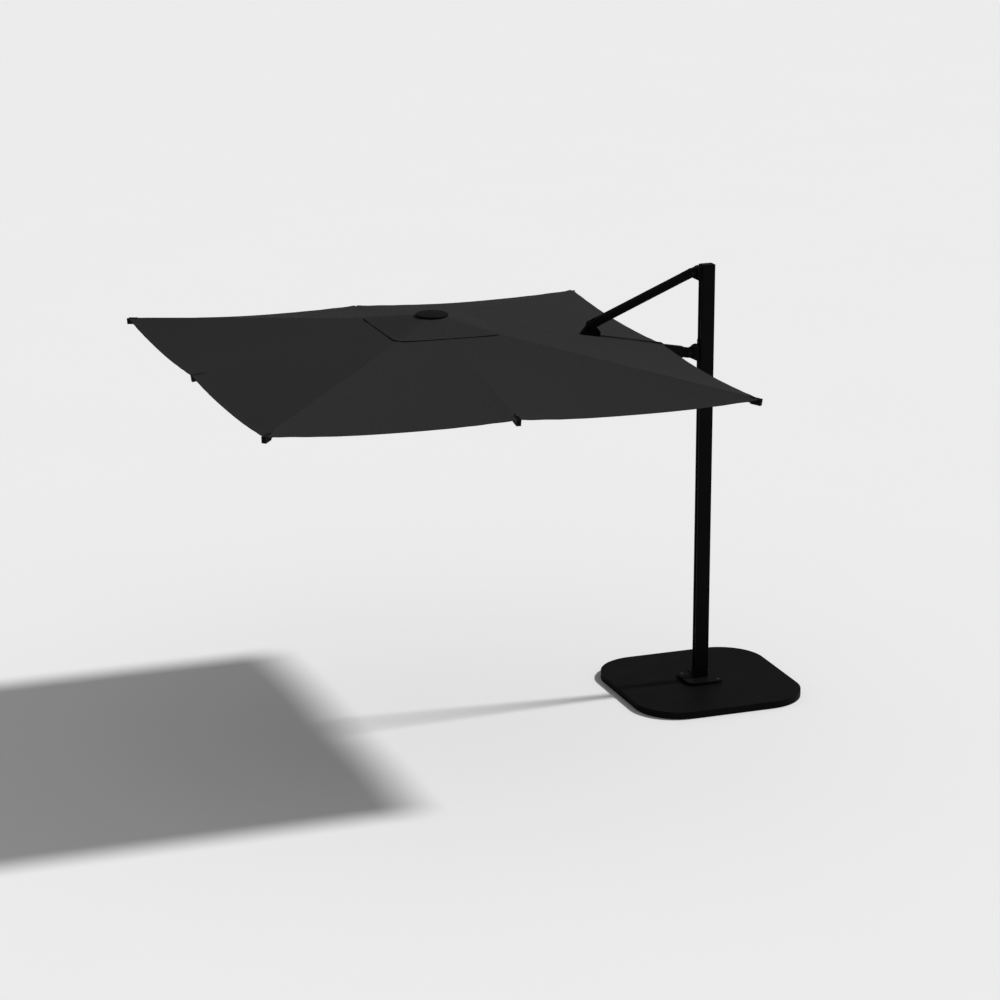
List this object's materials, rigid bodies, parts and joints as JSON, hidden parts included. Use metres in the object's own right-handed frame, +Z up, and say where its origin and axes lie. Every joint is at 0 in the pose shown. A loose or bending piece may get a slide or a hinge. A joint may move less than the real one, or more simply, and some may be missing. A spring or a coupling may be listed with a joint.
{
  "type": "cantilever parasol",
  "caption": "Square garden parasol hung beside a slotted mast on a weighted base; it folds by sliding a carriage down the mast and swivels on its foot.",
  "frame": {"origin": "centre of the base's underside, on the floor, under the mast's axis", "axes": "+Z up along the mast; the canopy reaches out along -X; the XZ plane is the plane of the boom and strut"},
  "size_m": [3.8662, 3.0232, 2.76],
  "materials": {
    "stone": "matte",
    "base_paint": "matte",
    "base_steel": "matte",
    "frame_paint": "satin",
    "casting_paint": "satin",
    "bare_steel": "satin",
    "black_steel": "satin",
    "black_plastic": "matte",
    "fabric": "matte"
  },
  "bodies": {
    "base": {"ballast_slabs": "stone", "base_frame": "base_steel", "base_cover": "base_paint", "levelling_feet": "black_plastic", "foot_flange": "base_paint", "flange_screws": "black_steel", "swivel_post": "bare_steel", "thrust_washer": "black_plastic"},
    "mast": {"mast_profile": "frame_paint", "mast_cap": "frame_paint", "swivel_bushes": "black_plastic", "top_bracket": "casting_paint", "top_bracket_bolts": "black_steel", "strut_top_pin": "black_steel", "pedal_bracket": "casting_paint"},
    "pedal": {"brake_pedal": "black_plastic"},
    "strut": {"strut_tube": "frame_paint", "strut_head": "casting_paint", "strut_fork": "casting_paint"},
    "boom": {"boom_tube": "frame_paint", "boom_heel": "casting_paint", "boom_nose": "casting_paint", "strut_lug": "casting_paint", "strut_lug_pin": "black_steel", "boom_tip_cap": "black_plastic"},
    "carriage": {"carriage": "casting_paint", "carriage_bracket": "casting_paint", "grip": "black_plastic", "boom_heel_pin": "black_steel"},
    "button": {"lock_button": "bare_steel"},
    "rod": {"levelling_rod": "bare_steel", "rod_pins": "black_steel"},
    "crown": {"crown_hub": "casting_paint", "crown_post": "frame_paint", "hub_disc": "casting_paint", "post_cap": "black_plastic", "crown_pins": "black_steel", "canopy_fabric": "fabric", "vent_flap": "fabric"},
    "runner": {"runner": "casting_paint"},
    "rib_left": {"rib_left": "frame_paint"},
    "stretcher_left": {"stretcher_left": "frame_paint"},
    "rib_front": {"rib_front": "frame_paint"},
    "stretcher_front": {"stretcher_front": "frame_paint"},
    "rib_back": {"rib_back": "frame_paint"},
    "stretcher_back": {"stretcher_back": "frame_paint"},
    "rib_left_front": {"rib_left_front": "frame_paint"},
    "stretcher_left_front": {"stretcher_left_front": "frame_paint"},
    "rib_left_back": {"rib_left_back": "frame_paint"},
    "stretcher_left_back": {"stretcher_left_back": "frame_paint"},
    "rib_right_front": {"rib_right_front": "frame_paint"},
    "stretcher_right_front": {"stretcher_right_front": "frame_paint"},
    "rib_right_back": {"rib_right_back": "frame_paint"},
    "stretcher_right_back": {"stretcher_right_back": "frame_paint"}
  },
  "joints": [
    {"name": "mast_swivel", "type": "hinge", "parent": "base", "child": "mast", "pos_m": [0, 0, 0.061], "axis": [0, 0, 1], "continuous": true},
    {"name": "fold", "type": "hinge", "parent": "mast", "child": "strut", "pos_m": [-0.105, 0, 2.712], "axis": [0, -1, 0], "range_deg": [0, 63.53], "deforming": ["canopy_fabric", "vent_flap"]},
    {"name": "boom_hinge", "type": "hinge", "parent": "strut", "child": "boom", "pos_m": [-0.77, 0, 2.437], "axis": [0, 1, 0], "range_deg": [0, 130.95]},
    {"name": "carriage_hinge", "type": "hinge", "parent": "boom", "child": "carriage", "pos_m": [-0.118, 0, 2.206], "axis": [0, -1, 0], "range_deg": [0, 67.42]},
    {"name": "crown_hinge", "type": "hinge", "parent": "boom", "child": "crown", "pos_m": [-1.72, 0, 2.508], "axis": [0, -1, 0], "range_deg": [0, 67.42]},
    {"name": "rod_hinge", "type": "hinge", "parent": "crown", "child": "rod", "pos_m": [-1.7087, 0, 2.5193], "axis": [0, 1, 0], "range_deg": [0, 67.42]},
    {"name": "rib_left_hinge", "type": "hinge", "parent": "crown", "child": "rib_left", "pos_m": [-1.875, 0, 2.535], "axis": [0, -1, 0], "range_deg": [0, 76.06]},
    {"name": "stretcher_left_hinge", "type": "hinge", "parent": "rib_left", "child": "stretcher_left", "pos_m": [-2.1613, 0, 2.46389], "axis": [0, 1, 0], "range_deg": [0, 152.11]},
    {"name": "rib_front_hinge", "type": "hinge", "parent": "crown", "child": "rib_front", "pos_m": [-1.8, -0.075, 2.535], "axis": [1, 0, 0], "range_deg": [0, 74.91]},
    {"name": "stretcher_front_hinge", "type": "hinge", "parent": "rib_front", "child": "stretcher_front", "pos_m": [-1.8, -0.36124, 2.45778], "axis": [-1, 0, 0], "range_deg": [0, 152.12]},
    {"name": "rib_back_hinge", "type": "hinge", "parent": "crown", "child": "rib_back", "pos_m": [-1.8, 0.075, 2.535], "axis": [-1, 0, 0], "range_deg": [0, 74.91]},
    {"name": "stretcher_back_hinge", "type": "hinge", "parent": "rib_back", "child": "stretcher_back", "pos_m": [-1.8, 0.36124, 2.45778], "axis": [1, 0, 0], "range_deg": [0, 152.12]},
    {"name": "rib_left_front_hinge", "type": "hinge", "parent": "crown", "child": "rib_left_front", "pos_m": [-1.85303, -0.05303, 2.535], "axis": [0.7071, -0.7071, 0], "range_deg": [0, 78.91]},
    {"name": "stretcher_left_front_hinge", "type": "hinge", "parent": "rib_left_front", "child": "stretcher_left_front", "pos_m": [-2.05522, -0.25522, 2.47892], "axis": [-0.7071, 0.7071, 0], "range_deg": [0, 152.15]},
    {"name": "rib_left_back_hinge", "type": "hinge", "parent": "crown", "child": "rib_left_back", "pos_m": [-1.85303, 0.05303, 2.535], "axis": [-0.7071, -0.7071, 0], "range_deg": [0, 78.91]},
    {"name": "stretcher_left_back_hinge", "type": "hinge", "parent": "rib_left_back", "child": "stretcher_left_back", "pos_m": [-2.05522, 0.25522, 2.47892], "axis": [0.7071, 0.7071, 0], "range_deg": [0, 152.15]},
    {"name": "rib_right_front_hinge", "type": "hinge", "parent": "crown", "child": "rib_right_front", "pos_m": [-1.74697, -0.05303, 2.535], "axis": [0.7071, 0.7071, 0], "range_deg": [0, 77.29]},
    {"name": "stretcher_right_front_hinge", "type": "hinge", "parent": "rib_right_front", "child": "stretcher_right_front", "pos_m": [-1.54457, -0.25543, 2.47041], "axis": [-0.7071, -0.7071, 0], "range_deg": [0, 152.12]},
    {"name": "rib_right_back_hinge", "type": "hinge", "parent": "crown", "child": "rib_right_back", "pos_m": [-1.74697, 0.05303, 2.535], "axis": [-0.7071, 0.7071, 0], "range_deg": [0, 77.29]},
    {"name": "stretcher_right_back_hinge", "type": "hinge", "parent": "rib_right_back", "child": "stretcher_right_back", "pos_m": [-1.54457, 0.25543, 2.47041], "axis": [0.7071, -0.7071, 0], "range_deg": [0, 152.12]},
    {"name": "runner_hinge", "type": "hinge", "parent": "stretcher_left", "child": "runner", "pos_m": [-1.875, 0, 2.39279], "axis": [0, -1, 0], "range_deg": [0, 76.06]},
    {"name": "brake_pedal_press", "type": "hinge", "parent": "mast", "child": "pedal", "pos_m": [0, 0.062, 0.088], "axis": [-1, 0, 0], "range_deg": [0, 10], "stiffness_Nm_per_rad": 2, "springref_deg": -11.46},
    {"name": "lock_button_press", "type": "slide", "parent": "carriage", "child": "button", "axis": [1, 0, 0], "range_m": [0, 0.005], "stiffness_N_per_m": 400, "springref_m": -0.003}
  ],
  "couplings": [
    {"joint": "boom_hinge", "follows": "fold", "ratio": 2.061},
    {"joint": "carriage_hinge", "follows": "fold", "ratio": 1.061},
    {"joint": "crown_hinge", "follows": "fold", "ratio": 1.061},
    {"joint": "rod_hinge", "follows": "fold", "ratio": 1.061},
    {"joint": "rib_left_hinge", "follows": "fold", "ratio": 1.1971},
    {"joint": "stretcher_left_hinge", "follows": "fold", "ratio": 2.3942},
    {"joint": "rib_front_hinge", "follows": "fold", "ratio": 1.179},
    {"joint": "stretcher_front_hinge", "follows": "fold", "ratio": 2.3943},
    {"joint": "rib_back_hinge", "follows": "fold", "ratio": 1.179},
    {"joint": "stretcher_back_hinge", "follows": "fold", "ratio": 2.3943},
    {"joint": "rib_left_front_hinge", "follows": "fold", "ratio": 1.242},
    {"joint": "stretcher_left_front_hinge", "follows": "fold", "ratio": 2.3948},
    {"joint": "rib_left_back_hinge", "follows": "fold", "ratio": 1.242},
    {"joint": "stretcher_left_back_hinge", "follows": "fold", "ratio": 2.3948},
    {"joint": "rib_right_front_hinge", "follows": "fold", "ratio": 1.2165},
    {"joint": "stretcher_right_front_hinge", "follows": "fold", "ratio": 2.3943},
    {"joint": "rib_right_back_hinge", "follows": "fold", "ratio": 1.2165},
    {"joint": "stretcher_right_back_hinge", "follows": "fold", "ratio": 2.3943},
    {"joint": "runner_hinge", "follows": "fold", "ratio": 1.1971}
  ]
}
